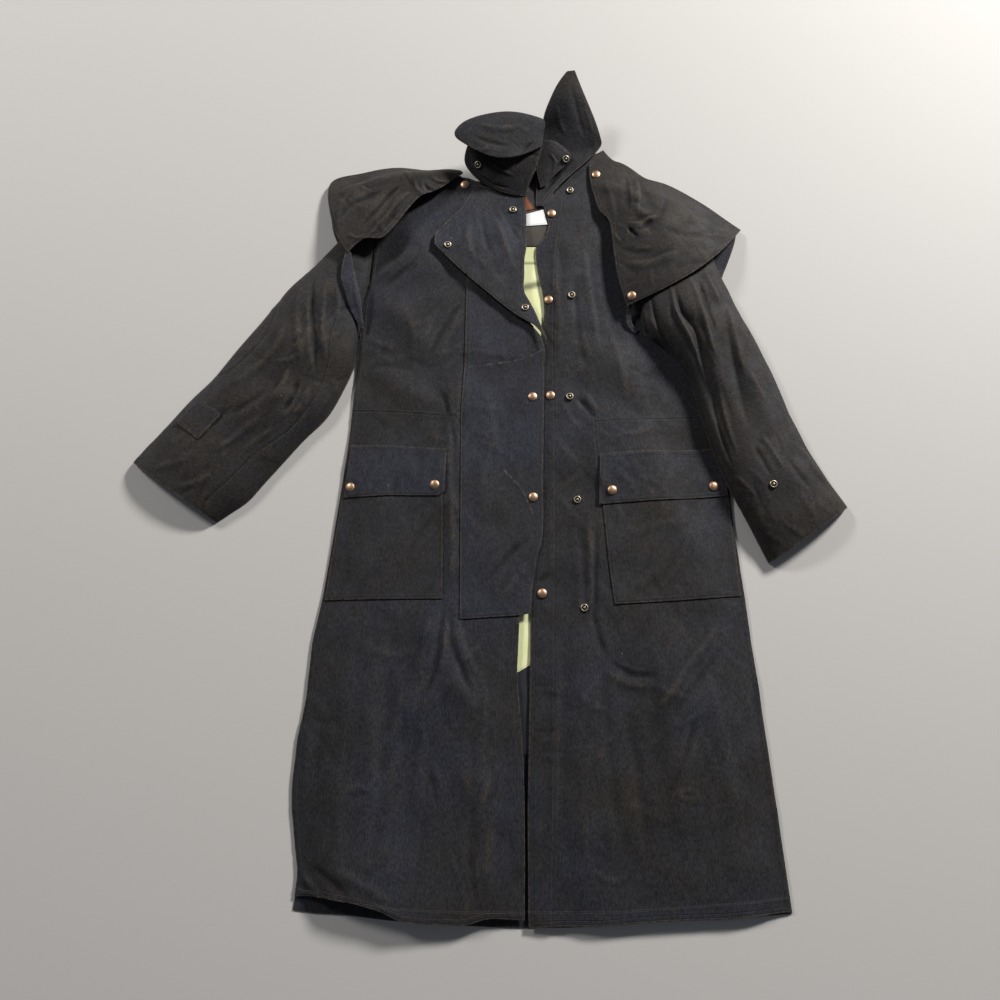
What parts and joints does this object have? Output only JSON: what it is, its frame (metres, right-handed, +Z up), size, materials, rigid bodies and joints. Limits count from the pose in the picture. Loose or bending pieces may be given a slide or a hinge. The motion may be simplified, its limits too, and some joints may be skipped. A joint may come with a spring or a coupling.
{
  "type": "duster coat",
  "caption": "Long waxed-cotton duster coat laid open on its back: shoulder cape, storm and gun flaps, stand collar, snap front and two flap pockets.",
  "frame": {"origin": "middle of the coat's box at the surface it lies on", "axes": "+Z up off the surface, +Y from hem to collar, +X towards the wearer's left"},
  "size_m": [1.176, 1.4053, 0.0727],
  "materials": {
    "waxed_cotton": "waxed, soft sheen, brown-black with navy",
    "pale_lining": "plain weave, matte",
    "navy_lining": "plain weave, matte",
    "brown_facing": "matte",
    "leather_label": "smooth",
    "white_label": "satin",
    "copper_cap": "worn copper",
    "brass_stud": "aged brass"
  },
  "bodies": {
    "root": {"back": "waxed_cotton", "cape_back": "waxed_cotton", "front_right": "waxed_cotton", "front_left": "waxed_cotton", "storm_flap": "waxed_cotton", "gun_flap": "waxed_cotton", "pocket_right": "waxed_cotton", "pocket_flap_right": "waxed_cotton", "pocket_left": "waxed_cotton", "pocket_flap_left": "waxed_cotton", "sleeve_under_right": "waxed_cotton", "sleeve_top_right": "waxed_cotton", "sleeve_under_left": "waxed_cotton", "sleeve_top_left": "waxed_cotton", "cuff_tab_right": "waxed_cotton", "cape_right": "waxed_cotton", "cape_left": "waxed_cotton", "cape_strap_right": "waxed_cotton", "cape_strap_left": "waxed_cotton", "collar_stand_right": "waxed_cotton", "collar_leaf_right": "waxed_cotton", "collar_leaf_left": "waxed_cotton", "throat_tab": "waxed_cotton", "lining_pale": "pale_lining", "lining_navy": "navy_lining", "neck_facing": "brown_facing", "label_leather": "leather_label", "label_white": "white_label", "cap_left_edge_1": "copper_cap", "cap_left_edge_2": "copper_cap", "cap_left_edge_3": "copper_cap", "cap_left_edge_4": "copper_cap", "cap_storm_upper": "copper_cap", "cap_storm_lower": "copper_cap", "cap_right_pocket_inner": "copper_cap", "cap_right_pocket_outer": "copper_cap", "cap_left_pocket_inner": "copper_cap", "cap_left_pocket_outer": "copper_cap", "cap_left_cape_neck": "copper_cap", "cap_left_cape_corner": "copper_cap", "cap_right_cape_neck": "copper_cap", "stud_left_1": "brass_stud", "stud_left_2": "brass_stud", "stud_left_3": "brass_stud", "stud_left_4": "brass_stud", "stud_left_5": "brass_stud", "stud_gun_flap_outer": "brass_stud", "stud_gun_flap_neck": "brass_stud", "stud_gun_flap_point": "brass_stud", "stud_collar": "brass_stud", "stud_throat_tab": "brass_stud", "stud_left_cuff": "brass_stud"}
  },
  "joints": []
}
